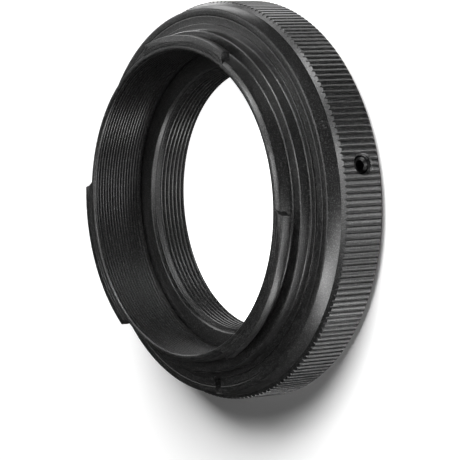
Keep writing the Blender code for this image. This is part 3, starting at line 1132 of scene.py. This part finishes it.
camera_data = bpy.data.cameras.new("camera")
camera_data.sensor_width = 36.0
camera_data.lens = camera_data.sensor_width * FOCAL_PIXELS / IMAGE_SIDE
camera_data.clip_start = 0.01
camera_data.clip_end = 20.0
camera = bpy.data.objects.new("camera", camera_data)
bpy.context.scene.collection.objects.link(camera)
camera.matrix_world = Matrix.Translation(to_ring @ -CENTRE_FROM_LENS) @ camera_turn.to_4x4()
bpy.context.scene.camera = camera
print(f"lens {camera_data.lens:.1f} mm, {camera.location.length / MM:.0f} mm from the ring")

# %% [markdown]
# ## Floor and light
#
# The ring lies on its rear face on a pale floor, and the camera looks down on it with its own up
# turned sideways, which shows the ring as it stands in the photograph. The photograph's ground is
# white, also through the bore, so the floor glows white in a round window under the ring. That glow
# is painted light: no lamp is there, and it washes out the ring's shadow on the floor in the bore.

# %% Floor
FLOOR_HALF = 3.0
FLOOR_SHADE = 0.92
FLOOR_GLOW = 0.08
# Out to this radius the floor glows white: painted light that washes out the ring's shadow in the bore.
PAINTED_LIGHT_RADIUS = 26 * MM
PAINTED_LIGHT_FADE = 2 * MM


def floor_with_painted_window_light(name, shade, glow):
    """A pale matt floor with a faint even glow, and painted light in a round window under the ring that
    glows white and washes out the ring's shadow there.
    """
    finish = Finish(name)
    place = finish.node("ShaderNodeTexCoord", output="Object")
    x_place, y_place = (
        finish.node("ShaderNodeSeparateXYZ", inputs={0: place}, output=letter) for letter in "XY"
    )
    radius = (x_place * x_place + y_place * y_place) ** 0.5
    # Inside the window the emission is painted light, bright enough to hide the ring's shadow on the floor.
    outside = finish.node("ShaderNodeClamp", inputs={"Value": (radius - PAINTED_LIGHT_RADIUS) / PAINTED_LIGHT_FADE})
    return finish.surface(
        Base_Color=grey(shade),
        Roughness=0.9,
        Emission_Color=finish.mix(outside, grey(1.0), grey(glow)),
        Emission_Strength=1.0,
    )


floor_mesh = bpy.data.meshes.new("floor")
floor_mesh.from_pydata(
    [(x * FLOOR_HALF, y * FLOOR_HALF, 0) for x, y in ((-1, -1), (1, -1), (1, 1), (-1, 1))],
    [],
    [(0, 1, 2, 3)],
)
floor = add_object("floor", floor_mesh)
floor.data.materials.append(floor_with_painted_window_light("pale_floor", FLOOR_SHADE, FLOOR_GLOW))
floor.visible_glossy = False
floor.visible_shadow = False
print(f"floor {2 * FLOOR_HALF:.0f} m wide, with a white window of {PAINTED_LIGHT_RADIUS / MM:.0f} mm radius")

# %% [markdown]
# A pale wall stands round the floor, for views from low down. It only shows in the picture's
# background: the ring doesn't mirror it and no light comes from it.

# %% Backdrop
WALL_RADIUS = 1.1
WALL_HEIGHT = 2.0
WALL_POINTS = 96
WALL_SHADE = 0.9
wall_rows = [even_row(WALL_RADIUS, height, WALL_POINTS) for height in (WALL_HEIGHT, 0)]
bm = bmesh.new()
skin(bm, *([bm.verts.new(point) for point in row] for row in wall_rows))
wall_mesh = bpy.data.meshes.new("wall")
bm.to_mesh(wall_mesh)
bm.free()
wall = add_object("wall", wall_mesh)
wall_finish = Finish("pale_wall")
wall.data.materials.append(
    wall_finish.surface(Base_Color=grey(0.0), Emission_Color=grey(WALL_SHADE), Emission_Strength=1.0)
)
wall.visible_diffuse = False
wall.visible_glossy = False
wall.visible_shadow = False
print(f"wall {WALL_RADIUS} m from the ring, {WALL_HEIGHT} m high")

# %% [markdown]
# ## Soft boxes
#
# A black ring shows little but the reflections of its lights, so each soft box draws a highlight on
# one side of it. Their places are given as they are in the picture: right, up, and towards the viewer.
# On the floor so many lights would wash the shadow out, so light linking keeps the two apart. One
# large lamp lights the floor and casts the ring's shadow on it, and all the others light the ring.

# %% Lights
LIGHT_DISTANCE = 0.9
WORLD_STRENGTH = 0.01
floor_only = bpy.data.collections.new("floor_only")
floor_only.objects.link(floor)
all_but_floor = bpy.data.collections.new("all_but_floor")
all_but_floor.objects.link(floor)
all_but_floor.collection_objects[0].light_linking.link_state = "EXCLUDE"


def soft_light(name, direction, size, power, receivers=all_but_floor):
    """A square soft box aimed at the ring from this direction in the picture: right, up, towards us."""
    place = camera_turn @ Vector(direction).normalized() * LIGHT_DISTANCE
    data = bpy.data.lights.new(name, "AREA")
    data.shape = "SQUARE"
    data.size = size
    data.energy = power
    light = bpy.data.objects.new(name, data)
    light.location = place
    light.rotation_euler = place.to_track_quat("Z", "Y").to_euler()
    light.light_linking.receiver_collection = receivers
    bpy.context.scene.collection.objects.link(light)


# Each has a name, a direction, a size in metres and a power in watts.
SOFT_BOXES = (
    ("right", (1.0, 0.04, -0.08), 0.34, 6.8),
    ("front", (-0.18, -0.12, 0.98), 0.34, 1.6),
    ("front_key", (-0.2, 0.25, 0.95), 0.14, 2.4),
    ("top_key", (-0.4, 0.75, 0.5), 0.14, 2.2),
    ("back_top", (0.0, 0.62, -0.78), 0.4, 1.2),
    ("back_left", (-0.5, 0.6, -0.62), 0.2, 1.2),
    ("top", (-0.15, 0.82, 0.55), 0.34, 2.0),
    ("top_left", (-0.46, 0.6, 0.66), 0.34, 0.8),
    ("top_back", (-0.48, 0.88, -0.08), 0.34, 1.7),
    ("left_top", (-0.76, 0.38, 0.53), 0.16, 1.3),
    ("left", (-0.96, 0.15, 0.25), 0.34, 1.3),
    ("left_back", (-0.91, 0.29, -0.29), 0.34, 0.8),
    ("left_low", (-0.87, -0.21, 0.45), 0.34, 1.2),
    ("left_front", (-0.47, -0.35, 0.81), 0.16, 0.7),
    ("right_front", (0.75, -0.4, 0.53), 0.34, 2.3),
    ("right_side", (0.95, -0.18, 0.26), 0.34, 0.8),
    ("low_right", (0.59, -0.76, 0.25), 0.34, 2.6),
    ("low_back", (0.7, -0.7, -0.1), 0.16, 1.25),
    ("low_front", (0.5, -0.72, 0.6), 0.16, 2.0),
    ("low", (0.44, -0.62, 0.64), 0.34, 1.4),
)
FLOOR_KEY = ("floor_key", (-0.36, 0.64, 0.68), 0.6, 18.5)
for soft_box in SOFT_BOXES:
    soft_light(*soft_box)
soft_light(*FLOOR_KEY, receivers=floor_only)
print(f"{len(SOFT_BOXES)} soft boxes, {LIGHT_DISTANCE} m away")

world = bpy.data.worlds.new("studio")
world.use_nodes = True
world.node_tree.nodes["Background"].inputs["Color"].default_value = grey(1.0)
world.node_tree.nodes["Background"].inputs["Strength"].default_value = WORLD_STRENGTH
bpy.context.scene.world = world
bpy.context.scene.view_settings.view_transform = "Standard"
